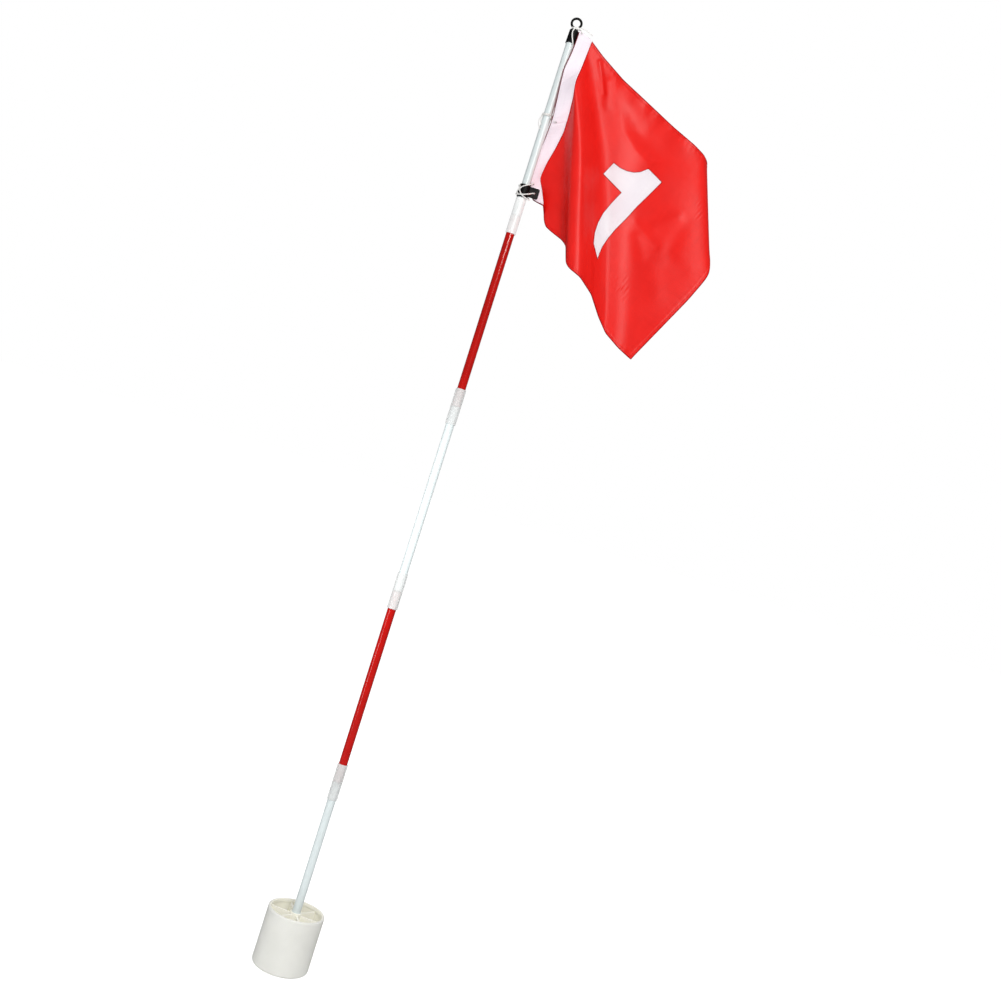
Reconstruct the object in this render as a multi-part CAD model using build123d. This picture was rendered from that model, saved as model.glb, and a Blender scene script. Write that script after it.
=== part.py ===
from build123d import *
import math
import os

# Golf flagstick: a sectional pole standing in a hole cup, with a flag tied to the top section.
# Millimetres. Origin: centre of the cup's bottom face. +Z up the pole, +X towards the flag's
# free end.

OVERCUT = 1.0           # how far cutters run past the faces they open

# ---- pole ----
TUBE_OD = 16.0
TUBE_ID = 12.4
TUBE_TOP = 1823.0
SOCKET_BORE = TUBE_OD + 0.10               # bore of hub, sleeves and cap
JOINT_Z = [359.0, 732.0, 1092.0, 1465.0]   # mid-plane of each sleeve
SLEEVE_OD = 19.6
SLEEVE_L = 69.0
STOP_T = 2.0            # inner ring between the two tube ends
END_R = 0.8             # rounding of hub, sleeve and clip ends
PLUG_HEAD_T = 3.0
PLUG_HEAD_CHAMFER = 1.0
PLUG_DEPTH = 22.0
PLUG_HEAD_INSET = 0.1   # head radius below the tube's outer radius
SPIGOT_PLAY = 0.02      # radial

# ---- cup ----
CUP_OD = 108.0
CUP_H = 107.5
CUP_WALL = 3.6
LIP_W = 5.6             # the wall thickens inwards to this at the rim
LIP_H = 6.0
LIP_TAPER_H = 2.0       # slope under the lip
LIP_BORE_R = CUP_OD / 2 - LIP_W
CUP_FLOOR = 4.0
CUP_CORNER_R = 5.0      # outer rounding where wall meets floor
RIM_R = 2.4             # outer rounding of the rim
RIM_IN_R = 1.0
DRAIN_D = 9.0
DRAIN_PCR = 32.0        # radius of the circle the drain holes lie on
RIB_N = 6
RIB_PITCH_DEG = 360 / RIB_N
RIB_FIRST_DEG = 50.0
RIB_T = 3.2
RIB_TOP = 100.5
HUB_TOP = 104.8
HUB_OD = 22.0
HUB_FLOOR = 8.0         # the pole's foot rests here
MOUTH_FLARE = 1.3       # radial widening of the hub's mouth
MOUTH_DEPTH = 1.2
MOUTH_OVERCUT = 0.1     # the mouth reaches its full flare this far above the hub

# ---- cap with eye ----
CAP_Z0 = 1801.6
CAP_Z1 = 1828.0
CAP_R0 = 9.5
CAP_R1 = 8.7
CAP_BEVEL = 1.2
NECK_R = 3.6
NECK_SINK = 0.5         # overlap of the neck into the cap
EYE_Z = 1841.5
EYE_R = 9.15            # centre-line radius of the eye
EYE_WIRE_R = 2.2

# ---- clip at the flag's lower corner ----
CLIP_Z0 = 1501.1
CLIP_H = 23.9
CLIP_OD = 20.8
CLIP_BORE = TUBE_OD + 0.14
TAB_X = 28.5
TAB_Z0 = 1506.0
TAB_Z1 = 1525.0
TAB_T = 3.6
TAB_CORNER_R = 2.5
TAB_HOLE_D = 4.4
TAB_HOLE_X = 19.6
TAB_HOLE_Z = 1515.0

# ---- flag ----
CLOTH_T = 1.0
HEADER_T = 0.9
NUMERAL_T = 0.35
NUMERAL_GAP = 0.06      # clearance between cloth and numeral
NUMERAL_REACH = 60.0    # the outline is extruded this far each way along Y
EYELET_OD = 7.0
EYELET_ID = 3.4
EYELET_L = 3.4
EYELET_FLANGE_T = 0.7
EYELET_HOLE_R = EYELET_OD / 2 - 1.0        # hole in the header
EYELET_BARREL_R = EYELET_OD / 2 - 1.05
EYELET_CUT_L = 12.0     # length of the cutter for the header's hole
EYELET_BORE_CUT_L = 8.0

# Hang of the cloth: stations from the hoist to the fly edge, each a line down the cloth.
FLAG_STATIONS = [  # x, y, z at the top edge; half-way down; at the bottom edge
    (41.8, 13.7, 1505.7, 42.7, 13.8, 1503.4, 43.7, 13.9, 1501.2),
    (36.9, 17.6, 1518.1, 41.6, 18.0, 1507.1, 46.3, 18.7, 1496.2),
    (31.6, 21.5, 1530.4, 39.8, 21.9, 1510.6, 48.1, 23.0, 1490.9),
    (21.8, 25.0, 1549.9, 36.6, 25.4, 1515.4, 51.5, 26.1, 1481.0),
    (24.3, 19.7, 1580.8, 43.3, 19.9, 1523.3, 62.3, 18.9, 1465.5),
    (32.2, 9.8, 1610.3, 58.5, 9.9, 1532.2, 84.8, 8.5, 1453.8),
    (38.1, -3.0, 1640.9, 71.4, -3.0, 1540.2, 104.7, -2.5, 1439.7),
    (38.5, -18.4, 1671.2, 74.9, -18.3, 1545.2, 111.4, -17.0, 1419.4),
    (37.1, -31.9, 1695.6, 77.2, -30.4, 1549.2, 117.3, -31.7, 1402.0),
    (32.7, -34.0, 1728.0, 85.6, -39.0, 1557.3, 138.3, -41.6, 1387.9),
    (34.4, -9.7, 1766.4, 95.6, -37.3, 1567.5, 155.6, -33.8, 1379.5),
    (35.8, 2.5, 1798.1, 102.5, -24.6, 1579.3, 168.1, -20.5, 1371.8),
    (37.4, 3.6, 1819.6, 107.9, -14.1, 1588.8, 177.6, -11.5, 1365.4),
    (51.2, 4.4, 1809.9, 119.0, -3.5, 1581.1, 186.4, -4.2, 1355.2),
    (65.7, 6.1, 1800.1, 130.5, 4.6, 1572.0, 195.2, 0.1, 1343.7),
    (88.3, 9.0, 1787.2, 148.3, 10.9, 1558.2, 208.3, 7.4, 1328.0),
    (114.1, 11.2, 1772.4, 169.5, 11.5, 1541.3, 225.0, 13.6, 1310.4),
    (140.3, 17.8, 1762.1, 193.3, 10.8, 1527.6, 246.2, 10.0, 1295.6),
    (167.1, 23.6, 1751.4, 219.2, 14.7, 1515.6, 271.3, 12.6, 1282.6),
    (180.7, 28.0, 1746.5, 233.4, 19.4, 1510.4, 286.1, 18.1, 1277.3),
    (199.2, 33.2, 1739.4, 250.6, 28.3, 1523.9, 302.1, 26.4, 1309.9),
    (232.6, 45.1, 1727.8, 282.4, 43.7, 1548.8, 332.2, 41.9, 1370.0),
    (256.9, 54.1, 1720.6, 304.6, 51.1, 1565.1, 352.4, 49.3, 1410.3),
    (282.4, 57.3, 1710.8, 326.8, 56.2, 1581.4, 371.4, 57.3, 1452.6),
    (301.5, 64.6, 1702.9, 341.6, 62.2, 1594.4, 381.8, 61.7, 1486.6),
    (314.0, 79.0, 1696.6, 345.7, 77.2, 1605.7, 377.4, 77.1, 1515.4),
    (317.8, 90.2, 1693.0, 345.0, 88.6, 1611.9, 372.4, 89.9, 1531.6),
    (315.4, 102.0, 1685.3, 337.6, 101.1, 1617.3, 360.1, 103.2, 1550.0),
    (302.3, 108.5, 1666.5, 317.4, 109.6, 1620.1, 332.5, 109.5, 1573.4),
    (288.3, 109.3, 1646.1, 296.6, 109.6, 1620.4, 305.0, 110.1, 1594.8),
    (273.0, 106.6, 1623.1, 274.1, 107.2, 1620.0, 275.1, 107.7, 1616.8),
]
NUMERAL_STATIONS = slice(6, 26)   # stretch of cloth the numeral layers follow

# Header band, from the top corner down.
HEADER_STATIONS = [  # x, y, z of the pole-side edge; x, y, z of the flag-side edge
    (15.8, -6.8, 1829.5, 19.4, -6.6, 1828.6),
    (12.0, -7.0, 1818.5, 34.9, 2.0, 1816.4),
    (9.1, -9.0, 1785.3, 32.6, -0.9, 1787.8),
    (3.9, -12.0, 1749.5, 31.0, -16.2, 1754.8),
    (6.6, -13.0, 1717.3, 30.3, -33.1, 1723.6),
    (8.8, -13.0, 1691.2, 34.2, -30.8, 1696.3),
    (12.4, -12.5, 1659.6, 35.7, -19.5, 1672.2),
    (11.6, -5.0, 1646.3, 35.8, -9.9, 1655.5),
    (11.0, 2.0, 1637.5, 35.6, -5.0, 1645.9),
    (8.4, 8.5, 1628.1, 34.7, -0.1, 1636.1),
    (2.8, 13.0, 1602.2, 30.3, 9.5, 1612.5),
    (3.2, 15.0, 1570.5, 22.5, 18.7, 1580.3),
    (4.5, 15.0, 1545.3, 19.3, 23.4, 1554.6),
    (9.2, 13.0, 1522.6, 28.7, 21.6, 1531.4),
    (22.0, 11.0, 1505.5, 40.5, 13.1, 1502.8),
]

# Eyelets: header station (each sits half-way to the next one), fraction across the band.
EYELET_AT = [(0, 0.21), (6, 0.30), (12, 0.34)]

# Outline of the numeral (x, z).
NUMERAL = [
    (144.3, 1614.8), (158.3, 1609.5), (172.6, 1607.5), (185.1, 1608.7), (196.7, 1613.6),
    (208.9, 1623.9), (240.8, 1607.1), (223.6, 1574.1), (210.4, 1549.6), (196.9, 1520.3),
    (184.8, 1496.9), (175.6, 1474.7), (170.9, 1458.5), (169.4, 1445.2), (169.3, 1433.8),
    (160.7, 1447.3), (153.1, 1459.6), (149.1, 1479.2), (149.4, 1498.9), (153.4, 1519.5),
    (163.5, 1543.8), (174.4, 1565.8), (131.5, 1588.9),
]

# ---- cords ----
CORD_R = 1.1
TOP_LOOP_R = 5.2
TOP_TIE_Z = CAP_Z1 + 1.55
TOP_TAILS = [  # x, y, height above TOP_TIE_Z
    [(5.1, -0.7, 0), (8.6, -5.6, 0.3), (12.4, -9.6, -1.6), (15.8, -10.6, -4.4)],
    [(4.6, -2.4, 0), (9.0, -7.0, 0.4), (16.0, -10.0, 4.7), (24.0, -9.0, 11.7),
     (33.0, -7.0, 13.7)],
    [(0.4, -5.2, 0), (0.0, -9.0, -0.6), (-1.0, -11.4, -7.5), (1.6, -11.8, -18.0),
     (5.8, -11.0, -29.0)],
]
MID_LOOP_R = TUBE_OD / 2 + CORD_R + 0.5
MID_LOOP_Z = (1657.5, 1661.5)     # lower and upper turn
WRAP_R = 12.4                     # lashing round the clip
WRAP_TILT = 2.2                   # how far it drops at +Y and rises at -Y
HOLE_LEG = (TAB_HOLE_X - 0.4, 4.2)   # x, distance either side of the tab's mid-plane
LOW_TAIL = [(12.6, 9.8, 1520.0), (13.6, 10.8, 1530.0)]


def turned(points):
    """Solid of revolution from an (r, z) outline."""
    face = make_face(Plane.XZ * Polyline(*points, close=True))
    return revolve(face, axis=Axis.Z)


def rod(z0, z1, r, x=0.0, y=0.0):
    """Upright cylinder between two heights."""
    return Pos(x, y, (z0 + z1) / 2) * Cylinder(r, z1 - z0)


def circles(shape):
    return shape.edges().filter_by(GeomType.CIRCLE)


def sheet(rows, near, far):
    """Closed thin solid that follows a grid of points, between two offsets along its normal."""
    n_row, n_col = len(rows), len(rows[0])
    grid = [[Vector(*p) for p in row] for row in rows]

    def normal(i, j):
        along = grid[i][min(j + 1, n_col - 1)] - grid[i][max(j - 1, 0)]
        down = grid[min(i + 1, n_row - 1)][j] - grid[max(i - 1, 0)][j]
        return along.cross(down).normalized()

    def offset(distance):
        return [[grid[i][j] + normal(i, j) * distance for j in range(n_col)]
                for i in range(n_row)]

    def quad(a, b, c, d):
        return [Face(Wire.make_polygon(corners, close=True)) for corners in ([a, b, c], [a, c, d])]

    near_side, far_side = offset(near), offset(far)
    faces = []
    for side in (near_side, far_side):
        for i in range(n_row - 1):
            for j in range(n_col - 1):
                faces += quad(side[i][j], side[i][j + 1], side[i + 1][j + 1], side[i + 1][j])

    # Close the border, going once round the grid.
    rim = [(0, j) for j in range(n_col)]
    rim += [(i, n_col - 1) for i in range(1, n_row)]
    rim += [(n_row - 1, j) for j in range(n_col - 2, -1, -1)]
    rim += [(i, 0) for i in range(n_row - 2, 0, -1)]
    for (i, j), (k, m) in zip(rim, rim[1:] + rim[:1]):
        faces += quad(near_side[i][j], near_side[k][m], far_side[k][m], far_side[i][j])

    solid = Solid(Shell(faces))
    if solid.volume < 0:   # the shell came out inside out
        solid = Solid(solid.wrapped.Reversed())
    return solid


def cord(points):
    """Round cord along a smooth line through the points."""
    path = Spline(*[Vector(*p) for p in points])
    start = Plane(origin=path @ 0, z_dir=path % 0)
    return sweep(start * Circle(CORD_R), path=path)


def loop(major, z):
    """Level ring of cord round the pole axis."""
    return Pos(0, 0, z) * Torus(major, CORD_R)


def link(points):
    """Cord through the points in straight runs with round corners."""
    solid = None
    for p, q in zip(points, points[1:]):
        step = Vector(*q) - Vector(*p)
        run = Plane(origin=p, z_dir=step) * Pos(0, 0, step.length / 2) * Cylinder(
            CORD_R, step.length)
        run += Pos(*p) * Sphere(CORD_R)
        solid = run if solid is None else solid + run
    return solid + Pos(*points[-1]) * Sphere(CORD_R)


def cup_shell():
    """Open can with a rounded foot, rounded rim and drain holes midway between the ribs."""
    shell = rod(0, CUP_H, CUP_OD / 2)
    shell = fillet(circles(shell).sort_by(Axis.Z)[0], CUP_CORNER_R)
    wall_r = CUP_OD / 2 - CUP_WALL
    lip_z = CUP_H - LIP_H
    shell -= turned([
        (0, CUP_FLOOR), (wall_r, CUP_FLOOR), (wall_r, lip_z - LIP_TAPER_H),
        (LIP_BORE_R, lip_z), (LIP_BORE_R, CUP_H + OVERCUT), (0, CUP_H + OVERCUT),
    ])
    for which, radius in ((-1, RIM_R), (0, RIM_IN_R)):   # outer edge, then inner
        rim = circles(shell).group_by(Axis.Z)[-1].sort_by(SortBy.RADIUS)
        shell = fillet(rim[which], radius)
    for k in range(RIB_N):
        a = math.radians(RIB_FIRST_DEG + RIB_PITCH_DEG * (k + 0.5))
        shell -= rod(-OVERCUT, CUP_FLOOR + OVERCUT, DRAIN_D / 2,
                     DRAIN_PCR * math.cos(a), DRAIN_PCR * math.sin(a))
    return shell


def cup_spider():
    """Hub and ribs standing on the cup's floor, trimmed to the lip's bore."""
    spider = rod(CUP_FLOOR, HUB_TOP, HUB_OD / 2)
    spider = fillet(circles(spider).sort_by(Axis.Z)[-1], END_R)
    rib = Pos(LIP_BORE_R / 2, 0, (CUP_FLOOR + RIB_TOP) / 2) * Box(
        LIP_BORE_R, RIB_T, RIB_TOP - CUP_FLOOR)
    for k in range(RIB_N):
        spider += Rot(0, 0, RIB_FIRST_DEG + RIB_PITCH_DEG * k) * rib
    spider &= rod(CUP_FLOOR, HUB_TOP, LIP_BORE_R)
    bore_r = SOCKET_BORE / 2
    spider -= rod(HUB_FLOOR, HUB_TOP + OVERCUT, bore_r)
    spider -= turned([
        (0, HUB_TOP + MOUTH_OVERCUT), (bore_r + MOUTH_FLARE, HUB_TOP + MOUTH_OVERCUT),
        (bore_r, HUB_TOP - MOUTH_DEPTH), (0, HUB_TOP - MOUTH_DEPTH),
    ])
    return spider


def foot_plug():
    """Head under the lowest tube, spigot inside it."""
    head_top = HUB_FLOOR + PLUG_HEAD_T
    plug = rod(HUB_FLOOR, head_top, TUBE_OD / 2 - PLUG_HEAD_INSET)
    plug = chamfer(circles(plug).sort_by(Axis.Z)[0], PLUG_HEAD_CHAMFER)
    return plug + rod(head_top, HUB_FLOOR + PLUG_DEPTH, TUBE_ID / 2 - SPIGOT_PLAY)


def tubes():
    """Pole sections, lowest first, each ending against a sleeve's stop ring."""
    bottoms = [HUB_FLOOR + PLUG_HEAD_T] + [z + STOP_T / 2 for z in JOINT_Z]
    tops = [z - STOP_T / 2 for z in JOINT_Z] + [TUBE_TOP]
    return [rod(z0, z1, TUBE_OD / 2) - rod(z0 - OVERCUT, z1 + OVERCUT, TUBE_ID / 2)
            for z0, z1 in zip(bottoms, tops)]


def sleeve(z):
    """Joining sleeve with softened ends and an inner stop ring."""
    z0, z1 = z - SLEEVE_L / 2, z + SLEEVE_L / 2
    body = rod(z0, z1, SLEEVE_OD / 2)
    body = fillet(circles(body), END_R)
    body -= rod(z0 - OVERCUT, z - STOP_T / 2, SOCKET_BORE / 2)
    body -= rod(z + STOP_T / 2, z1 + OVERCUT, SOCKET_BORE / 2)
    return body - rod(z - STOP_T, z + STOP_T, TUBE_ID / 2)


def top_cap():
    """Tapered cap over the top tube, with a neck and an upright eye ring."""
    cap = turned([
        (0, CAP_Z0), (CAP_R0, CAP_Z0), (CAP_R1, CAP_Z1 - CAP_BEVEL),
        (CAP_R1 - CAP_BEVEL, CAP_Z1), (0, CAP_Z1),
    ])
    cap -= rod(CAP_Z0 - OVERCUT, TUBE_TOP, SOCKET_BORE / 2)
    cap += rod(CAP_Z1 - NECK_SINK, EYE_Z - EYE_R, NECK_R)
    return cap + Pos(0, 0, EYE_Z) * Rot(90, 0, 0) * Torus(EYE_R, EYE_WIRE_R)


def flag_clip():
    """Ring round the pole with a drilled tab towards +X."""
    clip = rod(CLIP_Z0, CLIP_Z0 + CLIP_H, CLIP_OD / 2)
    clip = fillet(circles(clip), END_R)
    tab = Pos(TAB_X / 2, 0, (TAB_Z0 + TAB_Z1) / 2) * Box(TAB_X, TAB_T, TAB_Z1 - TAB_Z0)
    clip += fillet(tab.edges().filter_by(Axis.Y).sort_by(Axis.X)[-2:], TAB_CORNER_R)
    clip -= rod(CLIP_Z0 - OVERCUT, TAB_Z1 + OVERCUT, CLIP_BORE / 2)
    hole = Cylinder(TAB_HOLE_D / 2, TAB_T + 2 * OVERCUT)
    return clip - Pos(TAB_HOLE_X, 0, TAB_HOLE_Z) * Rot(90, 0, 0) * hole


def numeral(rows, near, far):
    """Thin layer over the cloth, cut to the numeral's outline."""
    outline = make_face(Plane.XZ * Polyline(*NUMERAL, close=True))
    prism = extrude(outline, amount=NUMERAL_REACH, both=True)
    return sheet([row[NUMERAL_STATIONS] for row in rows], near, far) & prism


def eyelet_plane(station, across):
    """Plane on the header band, square to it at an eyelet's centre."""
    (a, b), (c, d) = [(Vector(*s[:3]), Vector(*s[3:]))
                      for s in HEADER_STATIONS[station:station + 2]]
    centre = (a * (1 - across) + b * across) * 0.5 + (c * (1 - across) + d * across) * 0.5
    return Plane(origin=centre, z_dir=(b - a + d - c).cross(c - a + d - b).normalized())


def eyelet(plane):
    """Barrel with a flange at each end, bored through."""
    ring = plane * Cylinder(EYELET_BARREL_R, EYELET_L)
    flange_z = (EYELET_L - EYELET_FLANGE_T) / 2
    for z in (flange_z, -flange_z):
        ring += plane * Pos(0, 0, z) * Cylinder(EYELET_OD / 2, EYELET_FLANGE_T)
    return ring - plane * Cylinder(EYELET_ID / 2, EYELET_BORE_CUT_L)


def header_and_eyelets():
    """Header band with its holes, and the eyelets that sit in them."""
    edges = [[s[:3] for s in HEADER_STATIONS], [s[3:] for s in HEADER_STATIONS]]
    header = sheet(edges, -HEADER_T / 2, HEADER_T / 2)
    rings = []
    for station, across in EYELET_AT:
        plane = eyelet_plane(station, across)
        ring = eyelet(plane)
        header -= plane * Cylinder(EYELET_HOLE_R, EYELET_CUT_L)
        header -= ring
        rings.append(Solid(ring.solids()[0].wrapped))
    return header, Compound(children=rings)


def tie_top():
    """Loop round the cap's neck with three tails."""
    tie = loop(TOP_LOOP_R, TOP_TIE_Z)
    for tail in TOP_TAILS:
        tie += cord([(x, y, TOP_TIE_Z + z) for x, y, z in tail])
    return tie


def tie_middle():
    """Two turns round the pole, joined at -X, with a tail at -X and one at +X."""
    r = MID_LOOP_R
    z0, z1 = MID_LOOP_Z
    tie = loop(r, z0) + loop(r, z1)
    tie += cord([(-r + 0.4, 0, z0), (-r - 0.6, -1.6, (z0 + z1) / 2), (-r + 0.4, 0, z1)])
    tie += cord([(-r, 0.3, z0), (-r - 2.6, -2.5, 1650.0), (-r - 1.8, -4.0, 1640.0),
                 (-r + 1.5, -6.0, 1632.0)])
    return tie + cord([(r, -0.4, z0), (r + 2.5, -2.6, 1656.2), (16.0, -4.4, 1654.6)])


def tie_bottom():
    """Lashing through the tab's hole and round the clip ring, with a tail going up."""
    wrap = []
    for degrees in range(45, 316, 15):
        a = math.radians(degrees)
        wrap.append((WRAP_R * math.cos(a), WRAP_R * math.sin(a),
                     TAB_HOLE_Z - WRAP_TILT * math.sin(a)))
    hole = (TAB_HOLE_X, 0.0, TAB_HOLE_Z)
    leg_x, leg_y = HOLE_LEG
    tie = link([hole, (leg_x, leg_y, TAB_HOLE_Z)] + wrap + [(leg_x, -leg_y, TAB_HOLE_Z), hole])
    return tie + link([wrap[0]] + LOW_TAIL)


cloth_rows = [[s[k:k + 3] for s in FLAG_STATIONS] for k in (0, 3, 6)]
numeral_near = CLOTH_T / 2 + NUMERAL_GAP
numeral_far = numeral_near + NUMERAL_T
header, eyelets = header_and_eyelets()

nodes = {
    "cup_shell": cup_shell(),
    "cup_spider": cup_spider(),
    "pole_foot_plug": foot_plug(),
    "top_cap": top_cap(),
    "flag_clip": flag_clip(),
    "flag_field": sheet(cloth_rows, -CLOTH_T / 2, CLOTH_T / 2),
    "flag_header": header,
    "header_eyelets": eyelets,
    # The front layer is on the cloth's +Y side, the back layer on its -Y side.
    "numeral_front": numeral(cloth_rows, numeral_near, numeral_far),
    "numeral_back": numeral(cloth_rows, -numeral_far, -numeral_near),
    "tie_top": tie_top(),
    "tie_middle": tie_middle(),
    "tie_bottom": tie_bottom(),
}
for number, tube in enumerate(tubes(), 1):
    nodes[f"pole_tube_{number}"] = tube
for number, joint_z in enumerate(JOINT_Z, 1):
    nodes[f"sleeve_{number}"] = sleeve(joint_z)

os.makedirs("parts", exist_ok=True)
for name, shape in nodes.items():
    export_step(shape, f"parts/{name}.step")
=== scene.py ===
"""A flagstick: a jointed pole up the +Z axis from a cup, with a red numbered flag tied to it.

The pole axis is x = y = 0, the front faces -Y and the flag flies towards +X. Cloth and cords
are worked out in millimetres and scaled by MM when they become meshes; shaders, lights and the
camera are in metres. The poles, sleeves, cup and caps are CAD nodes and only get materials.
"""
import math
import random

import bpy
import numpy as np
from mathutils import Matrix, Vector
from mathutils.geometry import delaunay_2d_cdt


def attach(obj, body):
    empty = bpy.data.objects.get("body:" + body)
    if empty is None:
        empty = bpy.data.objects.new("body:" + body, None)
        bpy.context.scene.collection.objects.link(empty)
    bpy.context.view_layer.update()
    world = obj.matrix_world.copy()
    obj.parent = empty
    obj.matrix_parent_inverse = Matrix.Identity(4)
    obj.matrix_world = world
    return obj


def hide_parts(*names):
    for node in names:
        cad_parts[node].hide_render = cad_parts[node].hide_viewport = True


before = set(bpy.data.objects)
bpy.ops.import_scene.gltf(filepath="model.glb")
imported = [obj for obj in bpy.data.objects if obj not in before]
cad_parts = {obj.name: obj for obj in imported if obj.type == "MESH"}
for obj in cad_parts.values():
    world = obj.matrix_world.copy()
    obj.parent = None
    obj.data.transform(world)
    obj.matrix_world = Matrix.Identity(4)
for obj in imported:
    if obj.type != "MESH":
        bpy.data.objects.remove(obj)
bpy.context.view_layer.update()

random.seed(11)
RNG = np.random.default_rng(11)
SCENE = bpy.context.scene
MM = 0.001

# ------------------------------------------------------------------ dimensions, millimetres
# Flat cloth: u runs along the fly from the hoist, v down the hoist.
FLY, HOIST = 484.0, 380.0
HEM = 6.5                                      # width folded double along three edges
HEM_SEAM = 5.1                                 # hem stitching, in from the edge
BAND = 24.0                                    # width of the white band along the hoist
BAND_SEAM = -0.1                               # u of the band's edge at the field
BAND_TOP, BAND_FOOT = -2.6, HOIST - 2.0        # v of the band's ends
FIELD_TUCK = -BAND + 0.8                       # u that the field reaches behind the band
NUMERAL_LIFT = 0.30                            # numeral cloth above the field

# Hung cloth: x across and drop down the line of hang, both from the corner; depth along +Y.
CORNER = np.array([37.6, 0.0, 1818.2])         # upper corner of the red field at the hoist
ACROSS = np.array([0.9537, 0.0, 0.3009])
DOWN = np.array([0.3009, 0.0, -0.9537])
FLY_COS, FLY_SIN = 0.805, 0.593                # fly direction against the line of hang
VIEW_DISTANCE = 2190.0                         # camera to the pole's plane
SPREAD_X, SPREAD_Z = 133.5, 951.0              # centre that deeper points spread away from

# Cut edges of the cloth in flat hang coordinates (side, drop)
LEFT_SLOPE, TOP_SLOPE = -1.3575, 0.7366        # drop per side along the hoist and the top hem
LOW_CORNER = (-225.4, 305.9)                   # lower corner at the hoist
LOW_FLY_SIDE = 164.1                           # side of the lower corner at the fly
TOP_FLY_CORNER = (389.6, 287.2)                # upper corner at the fly

# (side, x) along the upper edge of the hung cloth
X_TOP = [
    (-244.9, -97.0), (-224.9, -89.9), (-201.4, -93.6), (-188.0, -97.9), (-167.8, -85.0),
    (-147.0, -67.9), (-123.8, -52.2), (-98.7, -42.1), (-77.6, -35.1), (-53.3, -30.2),
    (-33.2, -17.9), (-14.4, -8.0), (0.0, 0.0), (38.0, 20.7), (96.0, 57.8), (150.3, 100.5),
    (216.2, 152.0), (262.6, 191.9), (285.9, 208.0), (301.4, 213.6), (311.5, 214.6),
    (324.5, 208.0), (345.0, 189.0), (389.6, 147.3)]
# (side, x) along the lower edge
X_LOW = [
    (-227.0, -89.3), (-187.8, -89.3), (-171.6, -86.5), (-156.7, -74.4), (-138.0, -56.3),
    (-123.1, -48.7), (-80.2, -48.7), (-67.1, -43.3), (-44.0, -22.4), (0.0, -1.5),
    (56.7, 11.9), (98.1, 25.2), (134.5, 47.9), (164.1, 71.4), (244.9, 178.0), (268.0, 205.0),
    (279.0, 216.6), (288.0, 219.4), (301.4, 219.6), (311.5, 218.0), (324.5, 209.5),
    (345.0, 189.6), (389.6, 147.3)]
# (side, depth) of the folds
DEPTH = [
    (-244.3, 8.0), (-224.9, 12.5), (-208.0, 20.5), (-196.0, 25.0), (-186.0, 25.5),
    (-167.8, 20.0), (-147.0, 10.0), (-123.8, -3.0), (-113.2, -9.5), (-98.7, -18.5),
    (-77.6, -32.0), (-62.0, -39.5), (-50.0, -41.0), (-33.2, -33.6), (-14.4, -18.6),
    (0.0, -5.6), (18.6, 7.3), (34.0, 12.5), (46.0, 13.0), (65.3, 12.0), (96.0, 10.5),
    (123.1, 12.0), (150.3, 17.0), (182.8, 28.5), (216.2, 42.0), (238.7, 51.0), (262.6, 56.5),
    (280.0, 59.0), (291.0, 64.0), (301.4, 75.0), (311.5, 91.0), (324.5, 106.0),
    (345.0, 112.0), (389.6, 106.0)]
# (side, drop) of the long fold that starts at the upper corner
LONG_FOLD = [(-16.0, -20.0), (-5.0, 18.6), (5.0, 73.0), (27.0, 133.0), (52.0, 208.0),
             (67.0, 287.0), (76.0, 392.0), (86.0, 515.0), (92.0, 700.0)]
# (x, drop) where the slack beside the long fold begins, and where the cloth leans forward
SLACK_EDGE = [(49.0, 60.0), (46.6, 118.0), (56.5, 168.0), (76.5, 202.0), (100.0, 225.0)]
LEAN_EDGE = [(20.0, 20.0), (34.0, 58.0), (54.0, 158.0), (66.0, 250.0)]
# Creases: depth added, half width, fly side only, (centre, width) in drop or None, (x, drop) line
CREASES = [
    (2.0, 4.5, False, None, [(14.0, 38.0), (17.5, 60.0), (21.7, 98.0)]),
    (-1.6, 8.0, False, None, [(30.0, 75.0), (28.0, 120.0)]),
    (-1.5, 8.0, True, None, [(80.0, 336.0), (99.0, 361.0), (119.0, 382.0)]),
    (1.8, 12.0, True, None, [(84.0, 366.0), (92.0, 398.0)]),
    (-2.0, 14.0, True, (385, 52),
     [(174.0, 334.0), (158.0, 362.0), (144.0, 392.0), (150.0, 412.0), (165.0, 430.0)]),
    (2.0, 20.0, True, None, [(112.0, 420.0), (118.0, 470.0)]),
    (1.6, 12.0, True, None, [(118.0, 345.0), (160.0, 330.0)])]
# Pole-side edge of the band: v, x, drop, depth
BAND_V, BAND_X, BAND_DROP, BAND_DEPTH = np.array([
    (-2.6, -22.5, -21.0, -7.0), (7.5, -26.0, -10.0, -8.0), (27.0, -37.0, 19.4, -10.5),
    (56.1, -52.2, 50.9, -14.0), (89.9, -59.3, 82.2, -15.5), (130.7, -65.1, 108.0, -15.0),
    (166.1, -72.2, 139.3, -14.0), (190.9, -77.0, 153.7, -6.0), (218.7, -84.6, 174.2, 7.5),
    (247.6, -94.5, 199.4, 13.0), (283.1, -106.0, 230.1, 15.5), (310.2, -113.2, 254.4, 15.5),
    (339.9, -115.8, 276.8, 14.0), (378.8, -109.3, 296.3, 12.0)]).T
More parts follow.
